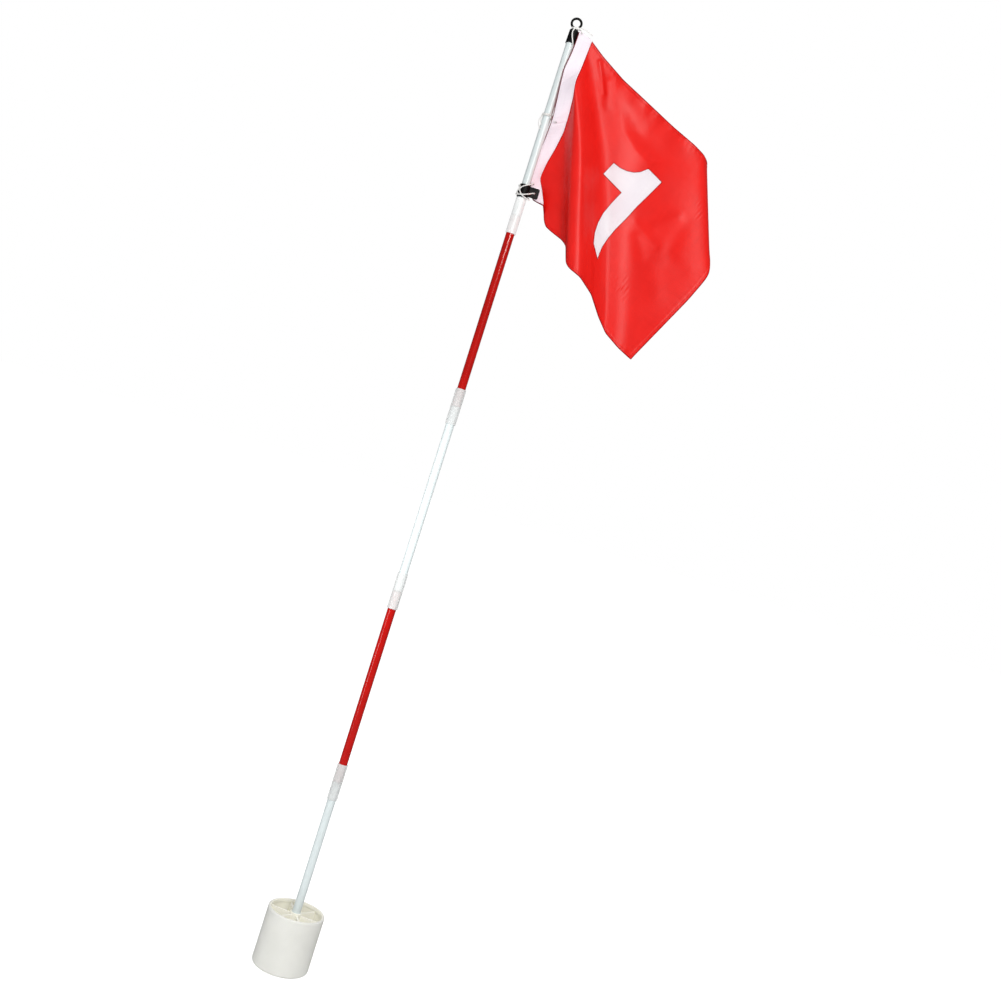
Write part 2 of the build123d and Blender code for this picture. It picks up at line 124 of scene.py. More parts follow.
# Outline of the numeral as it hangs: x, drop
NUMERAL = [
    (40.5, 226.0), (52.2, 235.4), (65.3, 241.5), (77.6, 244.1), (90.1, 243.0), (104.8, 236.9),
    (130.2, 262.4), (103.9, 288.7), (83.9, 308.1), (62.3, 332.0), (43.6, 350.6), (28.2, 369.1),
    (18.8, 383.1), (13.4, 395.4), (9.9, 406.2), (5.8, 390.7), (2.2, 376.7), (4.3, 356.8),
    (10.4, 338.1), (20.5, 319.7), (37.5, 299.5), (54.5, 281.8), (20.5, 246.9)]
EYELETS = [(-20.3, 0.6), (-17.0, 186.0), (-18.6, 327.0)]      # (u, v) on the band, top first

NECK_Z = 1829.6                                # top cord's turn round the neck
MIDDLE_RADIUS = 8.0 + 1.1 + 0.25               # tube, cord and clearance: turns of the middle tie
BOTTOM_Z = 1515.0                              # hole that the bottom cord passes through
BORE_RADIUS = 0.0508                           # metres; within it the cup is painted brighter and warmer, as painted light inside the cup


# ------------------------------------------------------------------ shader helpers
class Graph:
    """Short calls for the nodes of one tree."""

    def __init__(self, tree):
        self.tree = tree

    def feed(self, socket, value):
        """Links an output into a socket, or sets its value; colours are given as RGB."""
        if isinstance(value, bpy.types.NodeSocket):
            self.tree.links.new(value, socket)
        elif socket.type == "RGBA":
            socket.default_value = (*value, 1)
        else:
            socket.default_value = value

    def node(self, kind, **inputs):
        made = self.tree.nodes.new("ShaderNode" + kind)
        for key, value in inputs.items():
            self.feed(made.inputs[key], value)
        return made

    def coords(self, kind="Object", scale=(1, 1, 1)):
        source = self.node("TexCoord").outputs[kind]
        return self.node("Mapping", Vector=source, Scale=scale).outputs["Vector"]

    def noise(self, vector, scale, detail):
        return self.node("TexNoise", Vector=vector, Scale=scale, Detail=detail).outputs["Fac"]

    def wave(self, vector, scale, direction):
        made = self.node("TexWave", Vector=vector, Scale=scale, Detail=1.0)
        made.wave_type = "BANDS"
        made.bands_direction = direction
        return made.outputs["Fac"]

    def ramp(self, fac, stops):
        made = self.node("ValToRGB", Fac=fac)
        elements = made.color_ramp.elements
        while len(elements) < len(stops):
            elements.new(0.5)
        for k, (position, colour) in enumerate(stops):
            elements[k].position = position
            elements[k].color = (*colour, 1)
        return made.outputs["Color"]

    def math(self, operation, first, second, clamp=False):
        made = self.node("Math")
        made.operation = operation
        made.use_clamp = clamp
        self.feed(made.inputs[0], first)
        self.feed(made.inputs[1], second)
        return made.outputs[0]

    def level(self, value, gain, offset, clamp=False):
        """value * gain + offset"""
        return self.math("ADD", self.math("MULTIPLY", value, gain), offset, clamp)

    def weigh(self, first, first_share, second, second_share):
        """Weighted sum of two values."""
        return self.math("ADD", self.math("MULTIPLY", first, first_share),
                         self.math("MULTIPLY", second, second_share))

    def mix(self, fac, first, second, blend="MIX"):
        made = self.node("Mix")
        made.data_type = "RGBA"
        made.blend_type = blend
        for index, value in ((0, fac), (6, first), (7, second)):   # 6 and 7 are the colours
            self.feed(made.inputs[index], value)
        return made.outputs[2]

    def bump(self, height, strength, distance):
        return self.node("Bump", Height=height, Strength=strength,
                         Distance=distance).outputs["Normal"]


class Finish(Graph):
    """A new material round one Principled shader."""

    def __init__(self, name):
        self.material = bpy.data.materials.new(name)
        self.material.use_nodes = True
        super().__init__(self.material.node_tree)
        self.bsdf = self.find("BSDF_PRINCIPLED")

    def find(self, kind):
        return next(n for n in self.tree.nodes if n.type == kind)

    def set(self, **inputs):
        """Sets or links Principled inputs; underscores stand for spaces."""
        for key, value in inputs.items():
            self.feed(self.bsdf.inputs[key.replace("_", " ")], value)

    def blend_in(self, share, shader):
        """Mixes a share of a second shader over the Principled one."""
        mixer = self.node("MixShader")
        self.feed(mixer.inputs[0], share)
        self.feed(mixer.inputs[1], self.bsdf.outputs[0])
        self.feed(mixer.inputs[2], shader.outputs[0])
        self.feed(self.find("OUTPUT_MATERIAL").inputs["Surface"], mixer.outputs[0])


# ------------------------------------------------------------------ materials
def cloth_material(name, dark, base, light, pitch_mm, sheen, rough,
                   translucent=0.0, stripe=0.35, painted_glow=None):
    """Woven cloth on metric UVs: warp and weft bump, slub variation in colour, sheen; an optional
    emission is painted light.
    """
    m = Finish(name)
    uv = m.coords("UV")
    weave = 2 * math.pi / (pitch_mm * MM) / 20.0   # a wave of scale s repeats every 2*pi/(20*s)
    warp = m.wave(uv, weave, "X")
    weft = m.wave(uv, weave * 0.92, "Y")
    cells = m.math("MULTIPLY", warp, weft)
    # slubs: noise stretched along each thread direction
    slub_x = m.noise(m.coords("UV", (900, 18, 1)), scale=1.0, detail=2.0)
    slub_y = m.noise(m.coords("UV", (18, 900, 1)), scale=1.0, detail=2.0)
    slub = m.weigh(slub_x, 0.5, slub_y, 0.5)
    patch = m.noise(m.coords("UV"), scale=14.0, detail=3.0)
    tone = m.weigh(slub, 0.62, patch, 0.38)
    colour = m.ramp(tone, [(0.36, dark), (0.5, base), (0.64, light)])
    shade = m.level(cells, gain=stripe, offset=1.0 - stripe * 0.5)
    colour = m.mix(1.0, colour, shade, "MULTIPLY")
    normal = m.bump(m.math("ADD", cells, m.math("MULTIPLY", slub, 0.8)),
                    strength=0.35, distance=0.00012)
    tint = (min(1.0, light[0] * 1.1), *(min(1.0, c * 3 + 0.04) for c in light[1:]))
    m.set(Base_Color=colour, Roughness=m.level(slub, gain=0.18, offset=rough - 0.09, clamp=True),
          Sheen_Weight=sheen, Sheen_Roughness=0.35, Sheen_Tint=tint,
          Specular_IOR_Level=0.3, Normal=normal)
    if painted_glow:
        m.set(Emission_Color=painted_glow[0], Emission_Strength=painted_glow[1])
    if translucent > 0:
        m.blend_in(translucent, m.node("BsdfTranslucent", Color=colour, Normal=normal))
    return m.material


def fibre_material(name, low, high, rough, sheen=0.35):
    """Spun fibre in object space, for threads and cords that carry no UVs."""
    m = Finish(name)
    vector = m.coords()
    fibre = m.noise(vector, scale=2600.0, detail=3.0)
    cloud = m.noise(vector, scale=180.0, detail=2.0)
    tone = m.weigh(fibre, 0.6, cloud, 0.4)
    m.set(Base_Color=m.ramp(tone, [(0.36, low), (0.62, high)]),
          Roughness=rough, Sheen_Weight=sheen,
          Specular_IOR_Level=0.5 * min(1.0, sheen / 0.3),
          Normal=m.bump(fibre, strength=0.5, distance=0.00008))
    return m.material


def plastic_material(name, base, rough, vary=0.03, grain=0.00004, grain_scale=900.0, wear=None,
                     coat=0.0, specular=0.5, sss=0.0, streak=False, bore=None, painted_glow=None):
    """Moulded plastic: fine grain, cloudy tone, rubbed edges; the bore colour and radius paint
    light inside a hollow, and the emission is painted light.
    """
    m = Finish(name)
    vector = m.coords()
    cloud = m.noise(vector, scale=22.0, detail=4.0)
    low = tuple(max(0.0, c * (1 - vary)) for c in base)
    high = tuple(min(1.0, c * (1 + vary)) for c in base)
    colour = m.ramp(cloud, [(0.38, low), (0.62, high)])
    if wear is not None:
        pointiness = m.node("NewGeometry").outputs["Pointiness"]
        fine = m.noise(vector, scale=260.0, detail=4.0)
        edges = m.ramp(pointiness, [(0.52, (0, 0, 0)), (0.6, (1, 1, 1))])
        colour = m.mix(m.math("MULTIPLY", edges, fine, clamp=True), colour, wear)
    if bore is not None:
        # everything within the radius round the object's Z axis takes the bore's colour: painted
        # light, brighter and warmer than the outside
        place = m.node("SeparateXYZ", Vector=m.node("TexCoord").outputs["Object"])
        x, y = place.outputs[0], place.outputs[1]
        squared = m.math("ADD", m.math("MULTIPLY", x, x), m.math("MULTIPLY", y, y))
        within = m.math("LESS_THAN", m.math("SQRT", squared, 0.0), bore[1])
        colour = m.mix(within, colour, bore[0])
    smear = m.noise(m.coords(scale=(1, 1, 0.25) if streak else (1, 1, 1)), scale=60.0, detail=4.0)
    m.set(Base_Color=colour, Roughness=m.level(smear, gain=0.16, offset=rough - 0.08, clamp=True),
          Normal=m.bump(m.noise(vector, grain_scale, detail=2.0), strength=0.25, distance=grain),
          Coat_Weight=coat, Coat_Roughness=0.12, Specular_IOR_Level=specular)
    if sss:
        m.set(Subsurface_Weight=sss, Subsurface_Radius=(0.004, 0.004, 0.0035),
              Subsurface_Scale=1.0)
    if painted_glow:
        m.set(Emission_Color=painted_glow[0], Emission_Strength=painted_glow[1])
    return m.material


def sleeve_material(name, clear, painted_glow=0.0):
    """Milky sleeve that lets the tube inside show; the emission is painted light."""
    m = Finish(name)
    vector = m.coords()
    cloud = m.noise(m.coords(scale=(1, 1, 0.3)), scale=70.0, detail=4.0)
    m.set(Base_Color=m.ramp(cloud, [(0.35, (0.86, 0.88, 0.885)), (0.65, (0.93, 0.94, 0.94))]),
          Roughness=m.level(cloud, gain=0.14, offset=0.2, clamp=True),
          Normal=m.bump(m.noise(vector, scale=420.0, detail=2.0), strength=0.2, distance=0.00004),
          Coat_Weight=0.3, Emission_Color=(1.0, 0.99, 1.0), Emission_Strength=painted_glow)
    m.blend_in(clear, m.node("BsdfTransparent", Color=(0.97, 0.98, 0.98)))
    return m.material


def eyelet_shadow_material():
    m = Finish("eyelet_shadow")
    cloud = m.noise(m.coords(), scale=900.0, detail=2.0)
    m.set(Base_Color=m.ramp(cloud, [(0.4, (0.05, 0.03, 0.035)), (0.6, (0.10, 0.06, 0.065))]),
          Roughness=0.9)
    return m.material


RED_CLOTH = cloth_material(
    "flag_satin", dark=(0.80, 0.009, 0.006), base=(0.88, 0.011, 0.007),
    light=(0.94, 0.014, 0.009), pitch_mm=0.62, sheen=0.0, rough=0.38, translucent=0.06,
    stripe=0.25)
# The band's faint pinkish emission is painted light: it keeps the band evenly bright where it
# turns away from the lamps.
BAND_CLOTH = cloth_material(
    "band_canvas", dark=(0.86, 0.79, 0.86), base=(0.93, 0.86, 0.93), light=(0.97, 0.92, 0.97),
    pitch_mm=0.9, sheen=0.2, rough=0.75, translucent=0.15, stripe=0.15,
    painted_glow=((1.0, 0.88, 1.0), 0.11))
NUMERAL_CLOTH = cloth_material(
    "numeral_cloth", dark=(0.83, 0.76, 0.83), base=(0.89, 0.83, 0.89),
    light=(0.94, 0.90, 0.94), pitch_mm=0.7, sheen=0.2, rough=0.6)
CORD = fibre_material("cord_nylon_laid", low=(0.74, 0.74, 0.73), high=(0.92, 0.92, 0.91),
                      rough=0.55)
RED_THREAD = fibre_material("thread_red_spun", low=(0.34, 0.004, 0.004),
                            high=(0.56, 0.008, 0.007), rough=0.6, sheen=0.03)
EDGE_CORD = fibre_material("edge_cord_dark_red", low=(0.24, 0.002, 0.004),
                           high=(0.42, 0.004, 0.007), rough=0.7, sheen=0.02)
# The red cloth's edge along the band is painted dark maroon: painted shade, as that edge lies in
# the band's shadow.
BAND_EDGE_PAINTED_SHADE = fibre_material("band_edge_red_painted_shade", low=(0.09, 0.003, 0.008),
                         high=(0.17, 0.006, 0.014), rough=0.7, sheen=0.02)
WHITE_THREAD = fibre_material("thread_white_spun", low=(0.76, 0.70, 0.76),
                              high=(0.92, 0.88, 0.92), rough=0.55)
EYELET_SHADOW = eyelet_shadow_material()


# ------------------------------------------------------------------ mesh helpers
def new_object(name, verts, faces, material, replaces=()):
    """A smooth-shaded mesh that rides with the flag."""
    mesh = bpy.data.meshes.new(name)
    mesh.from_pydata([tuple(map(float, v)) for v in verts], [], [tuple(f) for f in faces])
    mesh.validate()
    mesh.update()
    ob = bpy.data.objects.new(name, mesh)
    SCENE.collection.objects.link(ob)
    mesh.polygons.foreach_set("use_smooth", [True] * len(mesh.polygons))
    mesh.materials.append(material)
    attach(ob, "flag")
    if replaces:
        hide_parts(*replaces)
    return ob


def set_uv(ob, uv_of_vertex):
    mesh = ob.data
    layer = mesh.uv_layers.new(name="UVMap")
    loops = np.zeros(len(mesh.loops), np.int32)
    mesh.loops.foreach_get("vertex_index", loops)
    layer.data.foreach_set("uv", np.asarray(uv_of_vertex, np.float32)[loops].ravel())


def catmull(points, per):
    """Smooth line through points, with a number of steps per span."""
    p = [np.array(q, float) for q in points]
    p = [2 * p[0] - p[1]] + p + [2 * p[-1] - p[-2]]
    line = []
    for i in range(1, len(p) - 2):
        a, b, c, d = p[i - 1], p[i], p[i + 1], p[i + 2]
        for k in range(per):
            t = k / per
            line.append(0.5 * ((2 * b) + (c - a) * t + (2 * a - 5 * b + 4 * c - d) * t * t
                               + (3 * b - a - 3 * c + d) * t ** 3))
    line.append(p[-2])
    return np.array(line)


def travelled(line):
    """Distance along a line at each of its points."""
    return np.concatenate([[0], np.cumsum(np.linalg.norm(np.diff(line, axis=0), axis=1))])


def resample(line, step):
    """Evenly spaced line and its length."""
    s = travelled(line)
    even = np.linspace(0, s[-1], max(3, int(round(s[-1] / step)) + 1))
    return np.stack([np.interp(even, s, line[:, k]) for k in range(3)], 1), s[-1]


def frames(line):
    """Tangent and two normals along a line, without twist."""
    tangent = np.gradient(line, axis=0)
    tangent /= np.linalg.norm(tangent, axis=1)[:, None] + 1e-12
    normal = np.zeros_like(line)
    start = np.array([0, 0, 1.0]) if abs(tangent[0][2]) < 0.9 else np.array([1.0, 0, 0])
    normal[0] = start - tangent[0] * (start @ tangent[0])
    normal[0] /= np.linalg.norm(normal[0])
    for i in range(1, len(line)):
        v = normal[i - 1] - tangent[i] * (normal[i - 1] @ tangent[i])
        normal[i] = v / (np.linalg.norm(v) + 1e-12)
    return tangent, normal, np.cross(tangent, normal)


class Pile:
    """Collects many small meshes into one."""

    def __init__(self):
        self.verts, self.faces = [], []

    def add(self, verts, faces):
        base = len(self.verts)
        self.verts.extend(verts)
        self.faces.extend(tuple(base + i for i in f) for f in faces)

    def tube(self, line, radius, sides):
        """A closed round tube along a line in millimetres; radius may vary along it."""
        line = line * MM
        _, normal, binormal = frames(line)
        radii = np.broadcast_to(np.asarray(radius * MM, float), (len(line),))
        verts, faces = [], []
        for i in range(len(line)):
            for k in range(sides):
                a = 2 * math.pi * k / sides
                ray = normal[i] * math.cos(a) + binormal[i] * math.sin(a)
                verts.append(line[i] + ray * radii[i])
        for i in range(len(line) - 1):
            for k in range(sides):
                p, q = i * sides + k, i * sides + (k + 1) % sides
                faces.append((p, q, q + sides, p + sides))
        last = (len(line) - 1) * sides
        faces.append(tuple(range(sides - 1, -1, -1)))
        faces.append(tuple(last + k for k in range(sides)))
        self.add(verts, faces)

    def build(self, name, material, slot, replaces=()):
        return new_object(name, self.verts, self.faces, material, replaces)


def rope(pile, points, radius, fray=False):
    """Laid cord: strands wound round a smooth line, with loose fibres at a frayed end."""
    lay, strands = 6.5, 3                      # length of one twist, number of strands
    line, length = resample(catmull(points, per=10), step=0.45)
    tangent, normal, binormal = frames(line)
    s = np.linspace(0, length, len(line))
    strand_radius = radius * 0.56
    radii = np.full(len(line), strand_radius)
    radii[[0, -1]] *= 0.55
    for k in range(strands):
        phase = 2 * math.pi * (s / lay + k / strands)
        ray = normal * np.cos(phase)[:, None] + binormal * np.sin(phase)[:, None]
        pile.tube(line + ray * (radius - strand_radius), radii, sides=7)
    if fray:
        tip, ahead = line[-1], tangent[-1]
        for k in range(9):
            a = 2 * math.pi * k / 9
            ray = normal[-1] * math.cos(a) + binormal[-1] * math.sin(a)
            side = ray * radius * RNG.uniform(0.5, 1.3)
            fibre = [tip - ahead * 0.8, tip + ahead * 0.5 + side * 0.6,
                     tip + ahead * RNG.uniform(1.4, 2.3) + side * 1.3]
            pile.tube(catmull(fibre, per=3), 0.16, sides=4)


# ------------------------------------------------------------------ the hang of the cloth
def gaussian(reach, step, sigma):
    weights = np.exp(-0.5 * (np.arange(-reach, reach + 1) * step / sigma) ** 2)
    return weights / weights.sum()


def smooth_table(pairs, sigma):
    """Grid and smoothed values of a table, run on past both ends along the end slopes."""
    p = np.array(pairs)
    grid = np.arange(p[0, 0] - 30, p[-1, 0] + 30, 0.5)
    val = np.interp(grid, p[:, 0], p[:, 1])
    low, high = grid < p[0, 0], grid > p[-1, 0]
    first_slope, last_slope = p[1] - p[0], p[-1] - p[-2]
    val[low] = p[0, 1] + (grid[low] - p[0, 0]) * first_slope[1] / first_slope[0]
    val[high] = p[-1, 1] + (grid[high] - p[-1, 0]) * last_slope[1] / last_slope[0]
    padded = np.concatenate([val[0] + np.arange(-60, 0) * (val[1] - val[0]), val,
                             val[-1] + np.arange(1, 61) * (val[-1] - val[-2])])
    return grid, np.convolve(padded, gaussian(60, 0.5, sigma), "valid")


TOP_CURVE = smooth_table(X_TOP, sigma=3.6)
LOW_CURVE = smooth_table(X_LOW, sigma=4.0)
DEPTH_CURVE = smooth_table(DEPTH, sigma=5.0)
SOFT_DEPTH_CURVE = smooth_table(DEPTH, sigma=12.0)


def line_at(drop, points):
    """First coordinate of a line of (x, drop) points at a drop."""
    points = np.array(points)
    return np.interp(drop, points[:, 1], points[:, 0])


def to_line(x, drop, points):
    """Distance from cloth points to a bent line."""
    best = np.full(np.shape(x), 1e9)
    for (x0, y0), (x1, y1) in zip(points, points[1:]):
        dx, dy = x1 - x0, y1 - y0
        t = np.clip(((x - x0) * dx + (drop - y0) * dy) / (dx * dx + dy * dy), 0, 1)
        best = np.minimum(best, np.hypot(x - x0 - t * dx, drop - y0 - t * dy))
    return best


def smoothstep(x, low, high):
    t = np.clip((x - low) / (high - low), 0, 1)
    return t * t * (3 - 2 * t)


def bell(x, centre, width):
    return np.exp(-((x - centre) / width) ** 2)


def hung_across(side, drop):
    """Hung x of flat hang coordinates, between the curves of the upper and lower edges."""
    top = np.where(side < 0, LEFT_SLOPE * side, TOP_SLOPE * side)
    low = np.where(side < LOW_FLY_SIDE,
                   LOW_CORNER[1] + TOP_SLOPE * (side - LOW_CORNER[0]),
                   TOP_FLY_CORNER[1] + LEFT_SLOPE * (side - TOP_FLY_CORNER[0]))
    t = np.clip((drop - top) / np.maximum(low - top, 12.0), 0, 1)
    return (1 - t) * np.interp(side, *TOP_CURVE) + t * np.interp(side, *LOW_CURVE)


def place(x, drop, depth):
    """Frame point of hung coordinates; deeper points spread so the front outline holds."""
    p = CORNER + ACROSS * x[..., None] + DOWN * drop[..., None]
    scale = 1 + depth / VIEW_DISTANCE
    p[..., 0] = SPREAD_X + (p[..., 0] - SPREAD_X) * scale
    p[..., 2] = SPREAD_Z + (p[..., 2] - SPREAD_Z) * scale
    p[..., 1] = depth
    return p


def hang(u, v):
    """Frame point of each flat cloth point."""
    side, drop = FLY_COS * u - FLY_SIN * v, FLY_SIN * u + FLY_COS * v
    x = hung_across(side, drop)
    # the long fold drifts towards the fly as it goes down
    fold = line_at(drop, LONG_FOLD)
    moved = (side - (fold - 36.0) * bell(side, fold, 62.0)
             - 9.0 * bell(side, -46.0, 26.0) * bell(drop, 205.0, 120.0))
    soft = smoothstep(moved, 12.0, 34.0)
    y = np.interp(moved, *DEPTH_CURVE) * (1 - soft) + np.interp(moved, *SOFT_DEPTH_CURVE) * soft
    # the folds draw together towards the upper corner, to a depth of -5
    near = smoothstep(np.hypot(side, drop), 0.0, 78.0)
    y = -5.0 + (y + 5.0) * (0.6 + 0.4 * near)
    # slack beside the long fold: quick rise over 27, slow fall over 80
    fly_side = smoothstep(side, 20.0, 60.0)
    edge = x - line_at(drop, SLACK_EDGE)
    beyond = np.maximum(edge, 0)
    slack = np.where(edge > 0, (1 - np.exp(-(beyond / 27.0) ** 2)) * np.exp(-beyond / 80.0), 0.0)
    y = y + 20.0 * slack * bell(drop, 168.0, 74.0)
    # the cloth comes forward between the long fold and the top hem
    lean = x - line_at(drop, LEAN_EDGE)
    y = y - 11.0 * smoothstep(lean, 3.0, 52.0) * (1 - smoothstep(drop, 95.0, 250.0))
    for height, width, fly_only, window, line in CREASES:
        crease = height * (fly_side if fly_only else 1.0) * bell(to_line(x, drop, line), 0, width)
        y = y + (crease * bell(drop, *window) if window else crease)
    # broad slanting waves in the middle of the fly side
    y = y + (1.4 * fly_side * np.sin((drop - 0.9 * x) / 26.0 + 0.8)
             * bell(x, 140, 80) * bell(drop, 260, 150))
    # two patches of small crimps
    y = y + (0.62 * np.sin((x + 0.8 * drop) / 1.5) * bell(x, 56, 11) * bell(drop, 458, 22)
             * (0.6 + 0.4 * np.sin(drop / 3.3)))
    y = y + (0.55 * np.sin((x + 0.9 * drop) / 1.45) * bell(x, 200, 7) * bell(drop, 316, 24)
             * (0.6 + 0.4 * np.sin(drop / 3.9)))
    # gathers along the top hem
    y = y + (0.9 * np.sin(u / 6.5 + 1.5 * np.sin(u / 31.0)) * np.exp(-v / 16.0)
             * smoothstep(u, 60.0, 130.0))
    # slight flutter along the lower and fly edges
    y = (y + 1.5 * np.sin(u / 19.0) * np.exp(-(HOIST - v) / 22.0)
         + 1.2 * np.sin(v / 16.0 + 0.7) * np.exp(-(FLY - u) / 20.0))
    return place(x, drop, y)


def band_station(v, values):
    """Smooth curve through one column of the band's stations."""
    grid = np.arange(-40, HOIST + 40, 1.0)
    raw = np.interp(grid, BAND_V, values)
    low = grid < BAND_V[0]
    raw[low] = values[0] + (grid[low] - BAND_V[0]) * (values[1] - values[0]) / (
        BAND_V[1] - BAND_V[0])
    padded = np.concatenate([np.full(30, raw[0]), raw, np.full(30, raw[-1])])
    return np.interp(v, grid, np.convolve(padded, gaussian(30, 1.0, 5.0), "valid"))


def band(u, v):
    """Surface of the hoist band; u from -BAND at the pole side to 0 at the field."""
    s = (u + BAND) / BAND
    left = place(band_station(v, BAND_X), band_station(v, BAND_DROP),
                 band_station(v, BAND_DEPTH))
    right = hang(np.zeros_like(u), v)
    p = left * (1 - s)[..., None] + right * s[..., None]
    # slack across the band, two soft cross creases and fine ripples
    sag = 1.6 * np.clip(4 * s * (1 - s), 0, 1) * np.sin(v / 21.0)
    crease = (-1.5 * bell(v, 77 + 2.5 * np.sin(6 * s), 3.2)
              - 1.7 * bell(v, 190 + 2.0 * np.sin(5 * s + 1), 3.4))
    ripple = (0.5 * np.sin(v / 4.3 + 3 * s) * bell(v, 182, 22)
              + 0.4 * np.sin(v / 3.7) * bell(v, 6, 14))
    p[..., 1] -= sag + crease * np.clip(6 * s * (1 - s), 0, 1) + ripple
    return p


def field(u, v):
    """The red cloth: the hang, carried on behind the band."""
    return np.where((u >= 0)[..., None], hang(np.maximum(u, 0.0), v), band(np.minimum(u, 0.0), v))


def band_surface(u, v):
    """The band, carried on over the hang so that normals at its edge are sound."""
    past = hang(np.maximum(u, 0.0), np.maximum(v, 0.0))
    return np.where((u > 0)[..., None], past, band(np.minimum(u, 0.0), v))


def skin(surface, u, v, off):
    """Point moved off a surface along its front normal, and that normal."""
    eps = 0.8
    du = surface(u + eps, v) - surface(u - eps, v)
    dv = surface(u, v + eps) - surface(u, v - eps)
    n = np.cross(dv, du)
    n /= np.linalg.norm(n, axis=-1)[..., None] + 1e-12
    return surface(u, v) + n * np.asarray(off)[..., None], n


# ------------------------------------------------------------------ thickness of the cloth
TUCKED_LIFT = {1: -0.16, -1: -0.62}            # front and back of the field behind the band


def pucker(u, v):
    """Small gathers that the hem stitching pulls into the cloth."""
    to_hem = np.minimum(v, HOIST - v)
    e = np.minimum(to_hem, FLY - u)
    along = np.where(to_hem < FLY - u, u, v)
    return 0.16 * np.sin(along / 2.1 + 1.3 * np.sin(along / 17.0)) * bell(e, HEM, 5.0)


def hem(u, v):
    """1 where the edge is folded double."""
    return 1 - smoothstep(np.minimum(np.minimum(v, HOIST - v), FLY - u), 6.2, 6.9)


def field_lift(u, v, face=1):
    """Offset of the field's front (face 1) or back (face -1) from its mid surface."""
    base = face * (0.22 + 0.22 * hem(u, v)) + pucker(u, v)
    tucked = smoothstep(-u, 0.0, 2.5)
    return base * (1 - tucked) + tucked * TUCKED_LIFT[face]


def band_lift(u, v):
    """Offset of the band's front, rounded off towards its edges."""
    edge = np.minimum(np.minimum(u + BAND, BAND_SEAM - u),
                      np.minimum(v - BAND_TOP, BAND_FOOT - v))
    return 0.10 + 0.95 * np.sqrt(np.clip(edge / 0.9, 0, 1))


# ------------------------------------------------------------------ sheets, stitches, edges
def fine_axis(low, high, step, edges):
    """Even steps, with extra lines round the places where the thickness steps."""
    base = list(np.linspace(low, high, int(round((high - low) / step)) + 1))
    for c in edges:
        base = [x for x in base if abs(x - c) > 0.8 or x in (low, high)]
        base += [c - 0.35, c, c + 0.35]
    return np.array(sorted(set(round(x, 4) for x in base if low - 1e-6 <= x <= high + 1e-6)))


def closed_sheet(name, surface, us, vs, front, back, material, replaces):
    """Closed thin cloth between two offsets of a surface, with metric UVs."""
    U, V = np.meshgrid(us, vs)
    front_points, _ = skin(surface, U, V, front(U, V))
    back_points, _ = skin(surface, U, V, back(U, V))
    verts = np.concatenate([front_points.reshape(-1, 3), back_points.reshape(-1, 3)]) * MM
    count = U.size
    idx = np.arange(count).reshape(U.shape)
    quads = np.stack([idx[:-1, :-1], idx[1:, :-1], idx[1:, 1:], idx[:-1, 1:]], -1).reshape(-1, 4)
    faces = quads.tolist() + (quads[:, ::-1] + count).tolist()
    rim = list(idx[0, :]) + list(idx[1:, -1]) + list(idx[-1, -2::-1]) + list(idx[-2:0:-1, 0])
    for i, j in zip(rim, rim[1:] + rim[:1]):
        faces.append((int(i), int(j), int(j) + count, int(i) + count))
    ob = new_object(name, verts, faces, material, replaces)
    uv = np.stack([U.ravel(), V.ravel()], 1) * MM
    set_uv(ob, np.concatenate([uv, uv]))


def stitch_row(pile, surface, path, lift, pitch, length, radius, face=1):
    """A row of small thread stitches along flat points on a cloth surface."""
    path = np.array(path, float)
    s = travelled(path)
    for k in range(int(s[-1] / pitch)):
        c = (k + 0.5) * pitch
        q = np.array([c - length / 2, c - length / 4, c, c + length / 4, c + length / 2])
        u, v = np.interp(q, s, path[:, 0]), np.interp(q, s, path[:, 1])
        # the ends dip into the cloth
        height = lift(u, v) + face * radius * np.array([-0.9, 0.35, 0.6, 0.35, -0.9])
        line, _ = skin(surface, u, v, height)
        pile.tube(line, np.array([0.45, 0.95, 1.0, 0.95, 0.45]) * radius, sides=6)


def edging(pile, surface, corners, lift, radius, step=1.6):
    """A fine rolled edge or cord laid along flat points on a cloth surface."""
    path = np.array(corners, float)
    s = travelled(path)
    q = np.linspace(0, s[-1], max(4, int(s[-1] / step)))
    u, v = np.interp(q, s, path[:, 0]), np.interp(q, s, path[:, 1])
    line, _ = skin(surface, u, v, np.full_like(u, lift))
    pile.tube(line, radius, sides=8)


# ------------------------------------------------------------------ field and band
def build_sheets():
    closed_sheet("flag_field_cloth", field,
                 fine_axis(FIELD_TUCK, FLY, 2.05, (-1.0, 0.0, 1.0, FLY - HEM)),
                 fine_axis(0.0, HOIST, 2.05, (HEM, HOIST - HEM)),
                 front=field_lift, back=lambda u, v: field_lift(u, v, -1),
                 material=RED_CLOTH, replaces=("flag_field",))
    # fine gathers run beside the band's seam
    closed_sheet("flag_header_band", band_surface,
                 fine_axis(-BAND, BAND_SEAM, 1.5, (-BAND + 1.2, -1.2)),
                 fine_axis(BAND_TOP, BAND_FOOT, 1.9, ()),
                 front=lambda u, v: band_lift(u, v) + 0.05 * np.sin(v / 1.7) * bell(u, -2.6, 1.4),
                 back=lambda u, v: np.full_like(u, -0.06),
                 material=BAND_CLOTH, replaces=("flag_header",))


